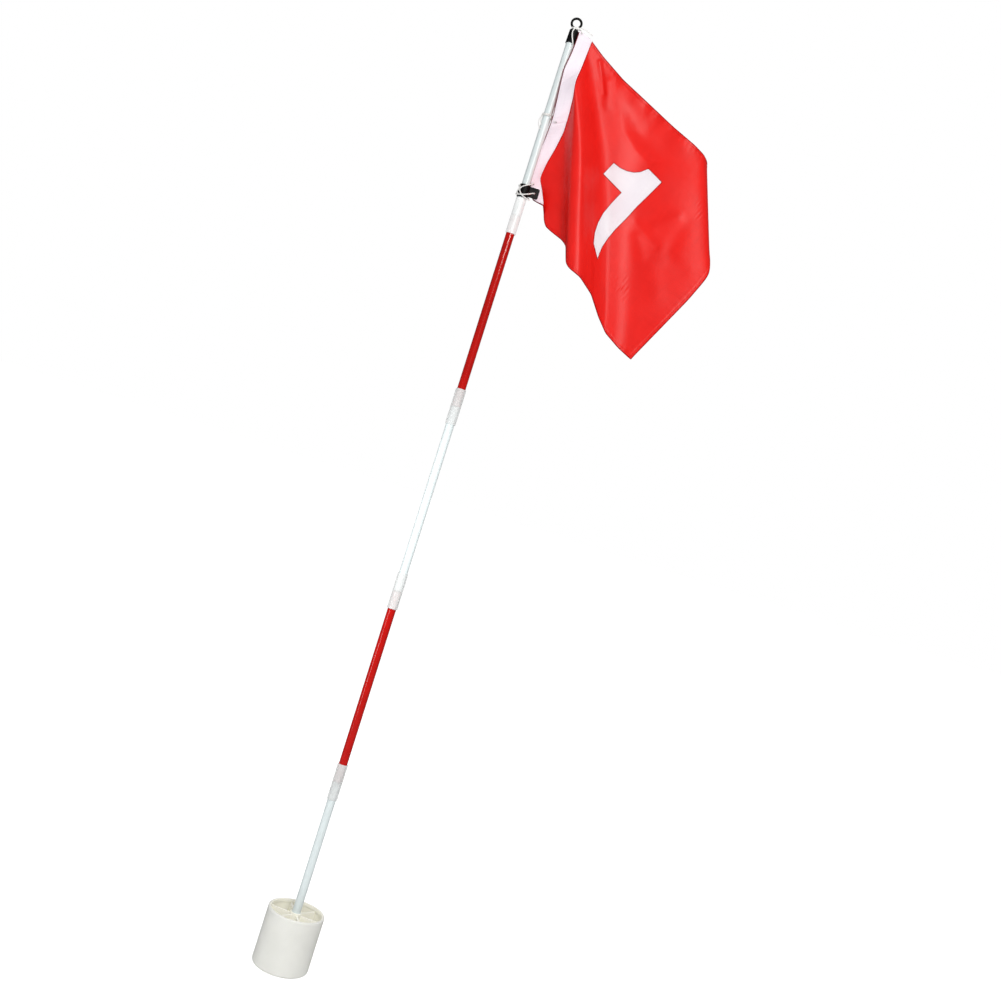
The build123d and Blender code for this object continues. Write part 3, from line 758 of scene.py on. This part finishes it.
def build_stitching():
    pile = Pile()
    corners = [(2.0, HEM_SEAM), (FLY - HEM_SEAM, HEM_SEAM), (FLY - HEM_SEAM, HOIST - HEM_SEAM),
               (2.0, HOIST - HEM_SEAM)]
    path = []
    for p, q in zip(corners, corners[1:]):
        for t in np.linspace(0, 1, 60, endpoint=False):
            path.append((p[0] + (q[0] - p[0]) * t, p[1] + (q[1] - p[1]) * t))
    path.append(corners[-1])
    for face in (1, -1):
        stitch_row(pile, field, path, lambda u, v: field_lift(u, v, face),
                   pitch=2.9, length=2.3, radius=0.24, face=face)
    pile.build("flag_hem_stitching", RED_THREAD, "flag_red")

    pile = Pile()
    rows = [[(u, v) for v in np.linspace(1.0, HOIST - 2, 120)] for u in (-BAND + 1.8, -1.4)]
    rows += [[(u, v) for u in np.linspace(-BAND + 2.5, -2.0, 12)] for v in (1.0, HOIST - 3.0)]
    for row in rows:
        stitch_row(pile, band_surface, row, band_lift, pitch=3.1, length=2.4, radius=0.26)
    pile.build("flag_band_stitching", WHITE_THREAD, "header_white")


def build_edges():
    pile = Pile()
    inset = 0.75
    edging(pile, field, [(0.2, inset), (FLY - inset, inset), (FLY - inset, HOIST - inset),
                         (0.2, HOIST - inset)], lift=0.0, radius=0.98)
    edging(pile, field, [(0.35, 1.0), (0.35, HOIST - 0.4)], lift=0.30, radius=0.62)
    pile.build("flag_rolled_edge", EDGE_CORD, "flag_red")

    pile = Pile()
    left, foot = -BAND - 0.25, HOIST - 0.2
    # the red edge beside the band, painted dark as painted shade
    edging(pile, band, [(left, 1.0), (left, foot), (-0.3, foot)], lift=-0.3, radius=0.88)
    pile.build("flag_band_binding", BAND_EDGE_PAINTED_SHADE, "flag_red")


# ------------------------------------------------------------------ numeral on both faces
def flat_of_front(x, drop):
    """Flat cloth point that hangs at x and drop on the single front layer."""
    sides = np.linspace(-20, 240, 1041)
    xs = hung_across(sides, np.full_like(sides, drop))
    i = int(np.argmin(np.abs(xs - x)))
    side = sides[i]
    if 0 < i < len(sides) - 1:
        slope = (xs[i + 1] - xs[i - 1]) / (sides[i + 1] - sides[i - 1])
        if abs(slope) > 0.05:
            side += (x - xs[i]) / slope
    return FLY_COS * side + FLY_SIN * drop, -FLY_SIN * side + FLY_COS * drop


def outline_dense(points, step):
    """Closed outline with its sides cut into steps of about one length."""
    out = []
    for p, q in zip(points, points[1:] + points[:1]):
        n = max(1, int(round(math.dist(p, q) / step)))
        for k in range(n):
            t = k / n
            out.append((p[0] + (q[0] - p[0]) * t, p[1] + (q[1] - p[1]) * t))
    return out


def inside(point, outline):
    x, y = point
    hit = False
    xj, yj = outline[-1]
    for xi, yi in outline:
        if (yi > y) != (yj > y) and x < (xj - xi) * (y - yi) / (yj - yi) + xi:
            hit = not hit
        xj, yj = xi, yi
    return hit


def edge_distance(point, outline):
    p = np.array(outline)
    d = np.roll(p, -1, 0) - p
    t = np.clip(((np.array(point) - p) * d).sum(1) / np.maximum((d * d).sum(1), 1e-9), 0, 1)
    return float(np.min(np.linalg.norm(p + d * t[:, None] - np.array(point), axis=1)))


def inset_outline(outline, distance):
    """Outline moved inwards along its normals."""
    p = np.array(outline)
    ahead = np.roll(p, -1, 0)
    t = ahead - np.roll(p, 1, 0)
    t /= np.linalg.norm(t, axis=1)[:, None] + 1e-9
    inward = np.stack([-t[:, 1], t[:, 0]], 1)
    area = 0.5 * np.sum(p[:, 0] * ahead[:, 1] - ahead[:, 0] * p[:, 1])
    return p + inward * (distance if area > 0 else -distance)


def grid_inside(outline):
    """Staggered rows of points inside an outline, clear of its edge."""
    low, high = np.array(outline).min(0), np.array(outline).max(0)
    points = []
    row = 0
    y = low[1]
    while y < high[1]:
        x = low[0] + (0.9 if row % 2 else 0)
        while x < high[0]:
            if inside((x, y), outline) and edge_distance((x, y), outline) > 0.8:
                points.append((x, y))
            x += 1.8
        y += 1.56
        row += 1
    return points


def applied_shape(name, outline, face, replaces):
    """Thin cloth shape lying on one face of the flag."""
    n = len(outline)
    points = [Vector(p) for p in outline + grid_inside(outline)]
    result = delaunay_2d_cdt(points, [(i, (i + 1) % n) for i in range(n)], [], 1, 1e-5)
    flat, tris = result[0], result[2]
    tris = [t for t in tris
            if inside([(flat[t[0]][k] + flat[t[1]][k] + flat[t[2]][k]) / 3 for k in (0, 1)],
                      outline)]
    U = np.array([p[0] for p in flat])
    V = np.array([p[1] for p in flat])
    edges = [(t[i], t[(i + 1) % 3]) for t in tris for i in range(3)]
    uses = {}
    for edge in edges:
        uses[frozenset(edge)] = uses.get(frozenset(edge), 0) + 1
    rim = [edge for edge in edges if uses[frozenset(edge)] == 1]
    on_rim = np.zeros(len(U), bool)
    for edge in rim:
        on_rim[list(edge)] = True
    base = field_lift(U, V, face)
    # the rim lies lower, which rounds the edge
    outer, _ = skin(field, U, V, base + face * np.where(on_rim, NUMERAL_LIFT * 0.35, NUMERAL_LIFT))
    under, _ = skin(field, U, V, base - face * 0.06)
    count = len(U)
    faces = []
    for t in tris:
        turned = t if face > 0 else t[::-1]
        faces.append(turned)
        faces.append(tuple(i + count for i in turned[::-1]))
    for i, j in rim:
        quad = (j, i, i + count, j + count)
        faces.append(quad if face > 0 else quad[::-1])
    ob = new_object(name, np.concatenate([outer, under]) * MM, faces, NUMERAL_CLOTH,
                    replaces)
    uv = np.stack([U, V], 1) * MM
    set_uv(ob, np.concatenate([uv, uv]))


def build_numeral():
    outline = [flat_of_front(x, drop) for x, drop in outline_dense(NUMERAL, 3.0)]
    outline = outline_dense(outline, 1.4)
    applied_shape("numeral_front_cloth", outline, 1, ("numeral_front",))
    applied_shape("numeral_back_cloth", outline, -1, ("numeral_back",))

    stitches, cords = Pile(), Pile()
    seam = [tuple(p) for p in inset_outline(outline, 1.5)]
    for face in (1, -1):
        stitch_row(stitches, field, seam + seam[:1],
                   lambda u, v: field_lift(u, v, face) + face * NUMERAL_LIFT,
                   pitch=2.6, length=2.0, radius=0.17, face=face)
        edging(cords, field, outline + outline[:1], lift=face * 0.42, radius=0.55, step=1.2)
    stitches.build("numeral_stitching", WHITE_THREAD, "numeral_white")
    cords.build("numeral_edge_cord", EDGE_CORD, "flag_red")


# ------------------------------------------------------------------ eyelets
def add_eyelet(rings, holes, u, v):
    """Worked ring and dark disc at one eyelet; returns its centre and front normal."""
    U, V, lift = np.array([[u]]), np.array([[v]]), np.array([[1.05]])
    centre, n = skin(band_surface, U, V, lift)
    centre, n = centre[0, 0], n[0, 0]
    beside, _ = skin(band_surface, U + 1, V, lift)
    right = beside[0, 0] - centre
    right /= np.linalg.norm(right)
    upright = np.cross(n, right)

    def ray(k, count):
        a = 2 * math.pi * k / count
        return right * math.cos(a) + upright * math.sin(a)

    # many short thread turns: (radius, height) over the edge of the hole
    profile = [(1.35, -0.15), (1.5, 0.28), (2.3, 0.36), (3.0, 0.2), (3.15, -0.15)]
    turns = 26
    for k in range(turns):
        points = [centre + ray(k, turns) * r + n * height for r, height in profile]
        rings.tube(catmull(points, per=4), 0.21, sides=6)

    sides, radius = 18, 1.5
    disc = [centre + n * 0.10]
    for height in (0.12, -0.3):
        disc += [centre + ray(k, sides) * radius + n * height for k in range(sides)]
    disc.append(centre - n * 0.3)
    top, low, last = 1, 1 + sides, 1 + 2 * sides
    pairs = [(k, (k + 1) % sides) for k in range(sides)]
    faces = [(0, top + k, top + m) for k, m in pairs]
    faces += [(top + k, low + k, low + m, top + m) for k, m in pairs]
    faces += [(last, low + m, low + k) for k, m in pairs]
    holes.add(np.array(disc) * MM, faces)
    return centre, n


def build_eyelets():
    rings, holes = Pile(), Pile()
    places = [add_eyelet(rings, holes, u, v) for u, v in EYELETS]
    rings.build("band_eyelets", WHITE_THREAD, "eyelet_white", ("header_eyelets",))
    holes.build("band_eyelet_holes", EYELET_SHADOW, "eyelet_white")
    return places


# ------------------------------------------------------------------ cords
def turn(radius, z0, z1, a0, a1, n):
    """Points on a turn round the pole axis, from angle a0 to a1 in degrees."""
    points = []
    for k in range(n + 1):
        a = math.radians(a0 + (a1 - a0) * k / n)
        points.append((radius * math.cos(a), radius * math.sin(a), z0 + (z1 - z0) * k / n))
    return points


def raised(height, points):
    """Points whose z is counted from a height."""
    return [(x, y, height + z) for x, y, z in points]


def into_eyelet(eyelet, lift, shift):
    """Last two points of a cord that dips into an eyelet from in front."""
    centre, n = eyelet
    return [centre + n * lift + np.array(shift), centre + n * 0.2]


def build_top_tie(eyelet):
    pile = Pile()
    # round the neck, then on to the eyelet
    rope(pile, turn(5.4, NECK_Z, NECK_Z, -40, 320, 26), 1.3)
    rope(pile, turn(7.0, NECK_Z + 0.9, NECK_Z + 0.7, -150, -25, 10)
         + raised(NECK_Z, [(9.4, -4.9, 0.6), (12.2, -8.2, -1.0)])
         + into_eyelet(eyelet, 2.0, (-1.4, 0, 2.0)), 1.25)
    # loose ends, downwards and towards the fly
    rope(pile, raised(NECK_Z, [
        (2.6, -5.4, -0.4), (1.2, -8.8, -0.6), (-0.7, -11.2, -3.6), (-1.9, -11.9, -9.6),
        (-0.6, -12.0, -16.0), (2.2, -11.9, -23.0), (4.6, -11.4, -29.0)]), 1.25, fray=True)
    rope(pile, raised(NECK_Z, [
        (3.2, -5.4, 0.4), (7.6, -8.0, 1.6), (12.5, -9.6, 2.4), (18.0, -10.2, 1.6),
        (23.5, -10.2, 0.2), (29.0, -9.8, -1.6), (33.6, -9.4, -3.6)]), 1.0, fray=True)
    # knot at the front of the neck
    rope(pile, raised(NECK_Z, [
        (1.4, -5.6, -1.4), (4.2, -8.0, -0.8), (6.8, -8.0, 1.6), (5.0, -6.2, 2.8),
        (2.2, -7.5, 0.9), (2.0, -8.8, -0.5), (5.0, -9.6, -1.0), (8.2, -7.0, -0.6)]), 1.2)
    pile.build("tie_top_cord", CORD, "cord_white", ("tie_top",))


def build_middle_tie(eyelet):
    pile = Pile()
    radius = MIDDLE_RADIUS

    def left_of_pole(points):
        """Points whose x is counted from the left side of the turns."""
        return [(x - radius, y, z) for x, y, z in points]

    # two turns, the tuck over them and two loose ends
    rope(pile, turn(radius, 1656.8, 1659.4, -60, 300, 26), 1.1)
    rope(pile, turn(radius + 0.05, 1661.0, 1664.0, -190, 150, 26), 1.1)
    rope(pile, left_of_pole([
        (0.6, -3.8, 1664.3), (-0.6, -2.8, 1661.5), (-1.3, -1.6, 1658.6),
        (-0.6, -0.8, 1656.0)]), 1.05)
    rope(pile, left_of_pole([
        (-0.3, -1.2, 1656.6), (-2.4, -3.0, 1652.0), (-2.9, -4.2, 1646.0), (-1.2, -5.6, 1639.0),
        (1.8, -7.4, 1633.2), (4.2, -8.9, 1631.6)]), 1.0, fray=True)
    rope(pile, left_of_pole([
        (1.0, -5.2, 1657.4), (-0.4, -4.6, 1652.0), (0.3, -5.0, 1645.5),
        (2.6, -6.8, 1640.6)]), 1.0, fray=True)
    # on to the eyelet
    rope(pile, turn(radius, 1660.4, 1658.8, -115, -20, 8) + [(11.8, -5.2, 1656.8)]
         + into_eyelet(eyelet, 1.9, (-3.0, 0, 1.2)), 1.05)
    pile.build("tie_middle_cord", CORD, "cord_white", ("tie_middle",))


def build_bottom_tie(eyelet):
    pile = Pile()
    # loop from the hole, round the pole and back into the hole
    rope(pile, raised(BOTTOM_Z, [
        (19.6, 0.0, 0.0), (19.5, -2.4, -0.1), (17.6, -4.0, -1.2), (11.6, -9.0, -5.6),
        (7.0, -12.0, -8.2), (2.1, -13.4, -10.4), (-3.5, -12.6, -11.4), (-8.4, -9.2, -11.8),
        (-11.3, -3.6, -11.2), (-11.9, 1.6, -9.4), (-10.8, 5.6, -7.6), (-6.8, 9.8, -5.0),
        (0.5, 12.2, -2.2), (8.0, 9.6, -0.6), (14.6, 5.6, 0.0), (18.6, 3.4, 0.0),
        (19.5, 2.0, 0.0), (19.6, 0.0, 0.0)]), 1.25)
    # across the front and up to the eyelet
    rope(pile, raised(BOTTOM_Z, [
        (11.0, 7.6, -9.0), (14.6, 1.0, -13.6), (13.2, -5.4, -15.2), (9.2, -9.6, -15.2),
        (5.2, -11.6, -14.4), (1.0, -12.1, -12.6), (-2.0, -11.6, -10.6), (-5.4, -10.4, -6.6),
        (-7.4, -9.2, -3.6), (-7.6, -9.0, -0.6), (-6.0, -10.2, 2.2), (-2.6, -11.6, 5.0),
        (2.4, -11.7, 8.2), (6.6, -10.0, 11.0), (9.8, -5.6, 13.2), (10.4, 0.0, 14.2)])
         + into_eyelet(eyelet, 2.4, (-1.5, 0, 1.0)), 1.2)
    # round the left side, and a short frayed end
    rope(pile, raised(BOTTOM_Z, [
        (-4.0, 10.6, -8.4), (-9.4, 6.8, -8.0), (-11.8, 0.6, -6.8), (-11.2, -3.8, -4.4),
        (-9.9, -6.4, -1.4), (-8.8, -7.8, 2.2), (-9.6, -6.4, 5.6), (-11.4, -1.6, 6.6),
        (-10.6, 4.6, 5.4), (-6.0, 9.9, 4.0)]), 1.2)
    rope(pile, raised(BOTTOM_Z, [
        (-8.6, -8.6, -10.8), (-10.6, -6.6, -8.6), (-11.6, -3.8, -7.8),
        (-12.2, 0.4, -9.8)]), 1.1, fray=True)
    pile.build("tie_bottom_cord", CORD, "cord_white", ("tie_bottom",))


# ------------------------------------------------------------------ plastics on the CAD nodes
def finish_cad():
    white_tube = plastic_material(
        "tube_white_gloss", (0.70, 0.775, 0.79), rough=0.3, vary=0.025, grain=0.00003,
        grain_scale=500.0, coat=0.15, specular=0.35, streak=True)
    red_tube = plastic_material(
        "tube_red_gloss", (0.46, 0.005, 0.003), rough=0.2, vary=0.06, grain=0.00003,
        grain_scale=500.0, coat=0.9, specular=0.15, streak=True)
    black = plastic_material(
        "cap_black_satin", (0.0045, 0.0045, 0.005), rough=0.5, vary=0.15, grain=0.00006,
        grain_scale=1400.0, wear=(0.022, 0.022, 0.024), specular=0.14)
    # the cup is painted brighter and warmer inside its hollow, with a faint emission, as painted
    # light
    cup = plastic_material(
        "cup_ivory", (0.745, 0.75, 0.715), rough=0.42, vary=0.02, grain=0.00005,
        grain_scale=700.0, sss=0.2, bore=((0.94, 0.925, 0.825), BORE_RADIUS),
        painted_glow=((0.97, 0.98, 0.94), 0.03))
    # the spider is a brighter, warmer copy of the cup's plastic with a faint emission: painted
    # light in the cup's hollow
    cup_inner_painted_light = plastic_material(
        "cup_ivory_inner_painted_light", (0.925, 0.915, 0.825), rough=0.5, vary=0.03, grain=0.00006,
        grain_scale=700.0, sss=0.2, painted_glow=((1.0, 0.98, 0.90), 0.05))
    plug = plastic_material("plug_white", (0.75, 0.76, 0.74), rough=0.45, vary=0.03,
                            grain=0.00006, grain_scale=700.0)
    sleeve = sleeve_material("sleeve_milky", clear=0.48)
    # the top sleeve is more opaque and has an emission: painted light that keeps it whiter where
    # the flag shades it
    top_sleeve_painted_light = sleeve_material("sleeve_milky_top_painted_light", clear=0.36, painted_glow=0.16)

    finishes = {"cup_shell": cup, "cup_spider": cup_inner_painted_light, "pole_foot_plug": plug,
                "top_cap": black, "flag_clip": black}
    for k in range(1, 6):
        finishes[f"pole_tube_{k}"] = red_tube if k in (2, 4) else white_tube
    for k in range(1, 5):
        finishes[f"sleeve_{k}"] = sleeve if k < 4 else top_sleeve_painted_light
    for name, material in finishes.items():
        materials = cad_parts[name].data.materials
        materials.clear()
        materials.append(material)


# ------------------------------------------------------------------ floor, light, camera
def build_floor():
    m = Finish("pale_floor")
    rays = m.node("LightPath")
    tone = m.ramp(m.noise(m.coords(), scale=1.2, detail=2.0),
                  [(0.3, (0.90, 0.90, 0.90)), (0.7, (0.93, 0.93, 0.93))])
    # darker in reflections, brighter to the camera
    dim = m.node("VectorMath")
    dim.operation = "SCALE"
    m.feed(dim.inputs[0], tone)
    m.feed(dim.inputs["Scale"], m.level(rays.outputs["Is Glossy Ray"], gain=-0.85, offset=1.0))
    m.set(Base_Color=dim.outputs[0], Roughness=0.85, Specular_IOR_Level=0.1,
          Emission_Color=(1, 1, 1),
          Emission_Strength=m.math("MULTIPLY", rays.outputs["Is Camera Ray"], 0.72))

    size, z = 60.0, -0.0005
    mesh = bpy.data.meshes.new("floor")
    mesh.from_pydata([(-size, -size, z), (size, -size, z), (size, size, z), (-size, size, z)],
                     [], [(0, 1, 2, 3)])
    ob = bpy.data.objects.new("floor", mesh)
    SCENE.collection.objects.link(ob)
    mesh.materials.append(m.material)


def build_world():
    """White surroundings: full to the camera, soft as light, faint in reflections."""
    world = bpy.data.worlds.new("soft_studio")
    SCENE.world = world
    world.use_nodes = True
    g = Graph(world.node_tree)
    background = g.tree.nodes["Background"]
    rays = g.node("LightPath")
    strength = g.level(rays.outputs["Is Glossy Ray"], gain=-0.34, offset=0.41)
    strength = g.math("MAXIMUM", strength, rays.outputs["Is Camera Ray"])
    g.feed(background.inputs["Strength"], strength)
    g.feed(background.inputs["Color"], (1, 1, 1))


def area(name, place, target, size, power, color=(1, 1, 1)):
    """Rectangular area light aimed at a target."""
    light = bpy.data.lights.new(name, "AREA")
    light.shape = "RECTANGLE"
    light.size, light.size_y = size
    light.energy = power
    light.color = color
    ob = bpy.data.objects.new(name, light)
    ob.location = place
    ob.rotation_mode = "QUATERNION"
    ob.rotation_quaternion = (Vector(target) - Vector(place)).to_track_quat("-Z", "Y")
    SCENE.collection.objects.link(ob)
    return ob


def build_lights():
    area("strip_left", place=(-1.85, -1.75, 0.2), target=(0.0, 0.0, 0.45), size=(0.26, 1.2),
         power=9.0)
    area("key_front", place=(0.74, -2.45, 2.4), target=(0.18, 0.0, 1.55), size=(0.7, 0.95),
         power=43.5, color=(1.0, 0.975, 0.94))
    low_front = area("low_front", place=(-0.2, -2.6, 1.1), target=(0.0, 0.0, 0.4),
                     size=(0.8, 0.8), power=5.8)
    low_front.visible_glossy = False
    area("top", place=(0.3, 0.2, 3.4), target=(0.1, 0.0, 1.0), size=(1.2, 1.2), power=15.0)
    cup_fill = area("cup_fill", place=(-0.12, -0.42, 1.0), target=(0.0, 0.0, 0.08),
                    size=(0.35, 0.35), power=2.0)
    cup_fill.visible_camera = False
    cup_fill.visible_glossy = False


def build_camera():
    """Looks along +Y, rolled so that the line of hang is upright in the view."""
    data = bpy.data.cameras.new("camera")
    data.lens = 42.23
    data.sensor_width = 36.0
    data.clip_start, data.clip_end = 0.05, 200.0
    camera = bpy.data.objects.new("camera", data)
    SCENE.collection.objects.link(camera)
    camera.location = (0.1322, -VIEW_DISTANCE * MM, 0.9506)
    camera.rotation_mode = "QUATERNION"
    level = Matrix.Rotation(math.radians(90), 4, "X")
    roll = Matrix.Rotation(math.radians(17.5105), 4, "Z")
    camera.rotation_quaternion = (level @ roll).to_quaternion()
    SCENE.camera = camera
    SCENE.view_settings.view_transform = "Standard"
    SCENE.view_settings.look = "None"
    SCENE.view_settings.exposure = 0.0
    SCENE.view_settings.gamma = 1.0


build_sheets()
build_stitching()
build_edges()
build_numeral()
top_eyelet, middle_eyelet, bottom_eyelet = build_eyelets()
build_top_tie(top_eyelet)
build_middle_tie(middle_eyelet)
build_bottom_tie(bottom_eyelet)
finish_cad()
build_floor()
build_world()
build_lights()
build_camera()
